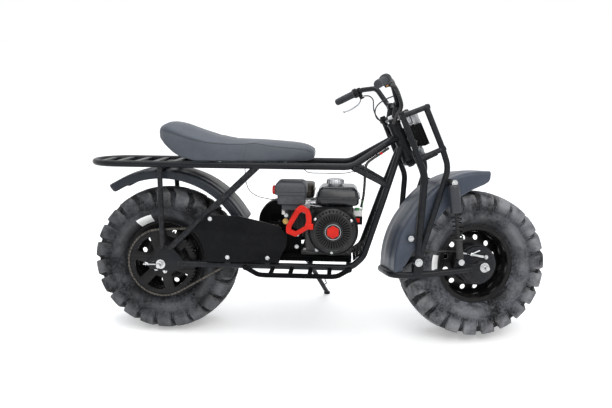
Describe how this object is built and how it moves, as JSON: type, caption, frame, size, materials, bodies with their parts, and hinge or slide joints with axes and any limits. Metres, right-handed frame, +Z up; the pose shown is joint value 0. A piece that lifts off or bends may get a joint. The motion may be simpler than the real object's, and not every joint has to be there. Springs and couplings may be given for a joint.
{
  "type": "all-terrain motorcycle",
  "caption": "Motorcycle for rough ground with fat tyres, a leading-arm fork, a rigid rear, an open tube frame, a utility engine with recoil starter, chain drive and a side stand.",
  "frame": {"origin": "centre of the outer box on the ground, machine leaning on its side stand", "axes": "+X forward, +Y to the rider's left, +Z up"},
  "size_m": [1.9834, 0.6676, 1.1413],
  "materials": {
    "frame_paint": "satin",
    "tyre_rubber": "dusty",
    "wheel_paint": "gloss",
    "gloss_black": "gloss",
    "plastic_black": "matt",
    "steel": "zinc plated",
    "dark_steel": "oiled",
    "cast_grey": "cast",
    "grip_rubber": "matt",
    "seat_vinyl": "vinyl",
    "handle_red": "moulded"
  },
  "bodies": {
    "frame": {"upper_frame": "frame_paint", "cradle": "frame_paint", "rear_frame_right": "frame_paint", "rear_frame_left": "frame_paint", "seat": "seat_vinyl", "rear_fender": "gloss_black", "chain_guard": "frame_paint", "engine_plate": "frame_paint", "skid_plate": "frame_paint", "foot_step_right": "frame_paint", "foot_step_left": "frame_paint", "engine_block": "cast_grey", "blower_housing": "gloss_black", "recoil_handle": "handle_red", "fuel_tank": "gloss_black", "air_box": "plastic_black", "muffler": "dark_steel", "clutch_cover": "gloss_black", "drive_sprocket": "dark_steel", "drive_chain": "dark_steel", "rear_axle": "steel", "wiring_harness": "grip_rubber"},
    "fork": {"fork_stem": "frame_paint", "fork_frame_right": "frame_paint", "fork_frame_left": "frame_paint", "handlebar": "frame_paint", "grip_right": "grip_rubber", "grip_left": "grip_rubber", "brake_lever": "steel", "brake_cable": "grip_rubber", "headlight": "plastic_black", "front_fender": "gloss_black", "swing_arm": "frame_paint", "shock_right": "frame_paint", "shock_left": "frame_paint", "front_axle": "steel"},
    "front_wheel": {"front_tyre": "tyre_rubber", "front_rim": "wheel_paint", "front_hub": "cast_grey"},
    "rear_wheel": {"rear_tyre": "tyre_rubber", "rear_rim": "wheel_paint", "rear_hub": "cast_grey", "wheel_sprocket": "wheel_paint"},
    "side_stand": {"side_stand": "frame_paint"}
  },
  "joints": [
    {"name": "steering_turn", "type": "hinge", "parent": "frame", "child": "fork", "pos_m": [0.3915, -0.00967, 0.76471], "axis": [-0.4176, 0.1131, 0.9015], "range_deg": [-46.2, 17.8]},
    {"name": "front_wheel_spin", "type": "hinge", "parent": "fork", "child": "front_wheel", "pos_m": [0.67398, -0.04834, 0.31655], "axis": [-0.2225, 0.9493, -0.2222], "continuous": true},
    {"name": "rear_wheel_spin", "type": "hinge", "parent": "frame", "child": "rear_wheel", "pos_m": [-0.66404, -0.06554, 0.31525], "axis": [0.0004, 0.9922, -0.1243], "continuous": true},
    {"name": "side_stand_fold", "type": "hinge", "parent": "frame", "child": "side_stand", "pos_m": [-0.05887, 0.09302, 0.2636], "axis": [0.059, 0.8298, 0.5549], "range_deg": [0, 100]}
  ]
}
